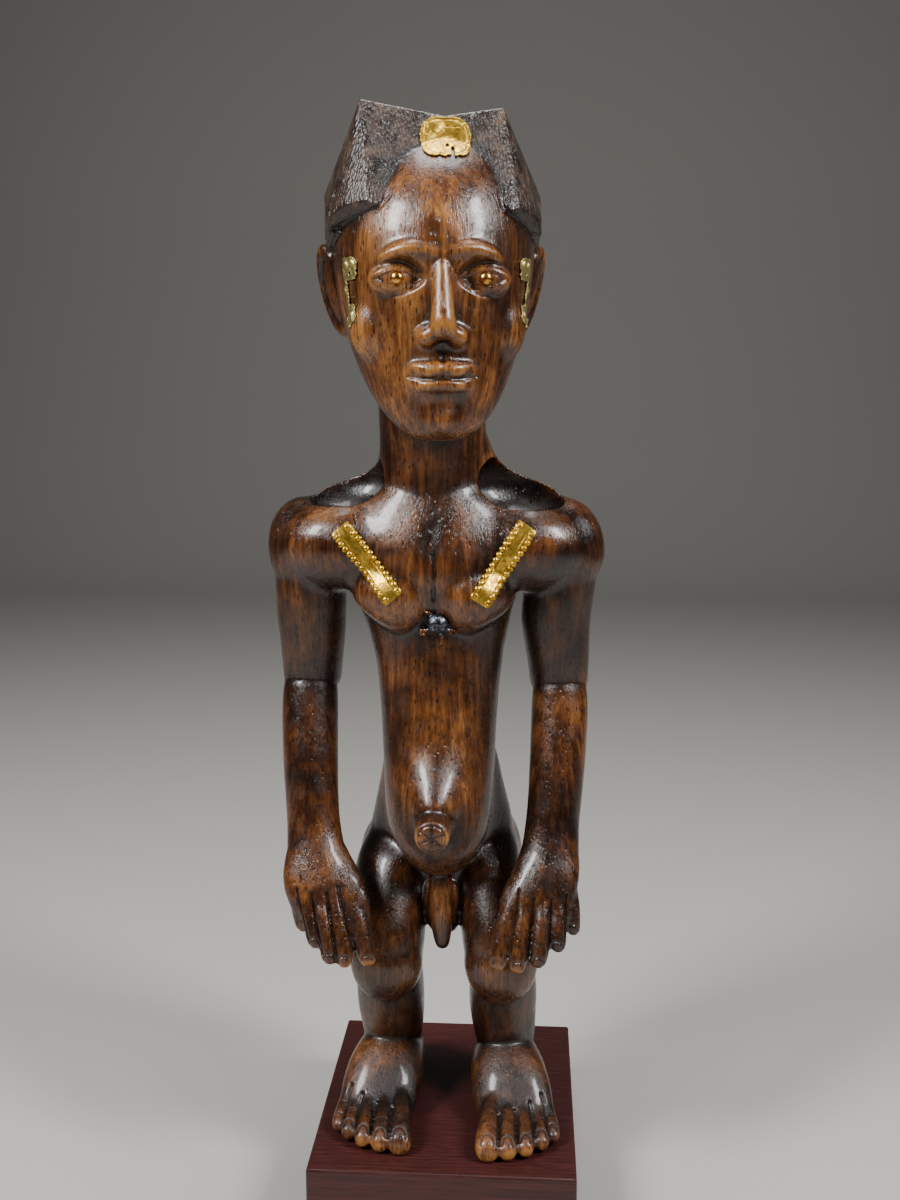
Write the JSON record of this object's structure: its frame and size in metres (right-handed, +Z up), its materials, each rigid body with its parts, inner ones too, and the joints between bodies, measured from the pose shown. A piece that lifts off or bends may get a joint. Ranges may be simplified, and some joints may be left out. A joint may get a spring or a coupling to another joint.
{
  "type": "standing carved ancestor figure",
  "caption": "Standing carved hardwood man with bent legs, hands on the thighs, crested hair, brass plates on head and chest, on a plain wooden plinth.",
  "frame": {"origin": "centre of the plinth's underside", "axes": "+Z up through the figure, the figure looks along -Y, +X towards the figure's left hand"},
  "size_m": [0.2182, 0.1914, 0.6918],
  "materials": {
    "dark_oiled_wood": "oiled and polished dark hardwood",
    "stained_plinth_wood": "satin dark red-brown stain",
    "beaten_brass": "beaten sheet, slightly tarnished",
    "copper_pegs": "worn copper alloy",
    "dark_charm": "dull dark crust"
  },
  "bodies": {
    "root": {"figure": "dark_oiled_wood", "plinth": "stained_plinth_wood", "crown_plate": "beaten_brass", "temple_plate_left": "beaten_brass", "temple_plate_right": "beaten_brass", "chest_plate_left": "beaten_brass", "chest_plate_right": "beaten_brass", "eye_peg_left": "copper_pegs", "eye_peg_right": "copper_pegs", "chest_charm": "dark_charm"}
  },
  "joints": []
}
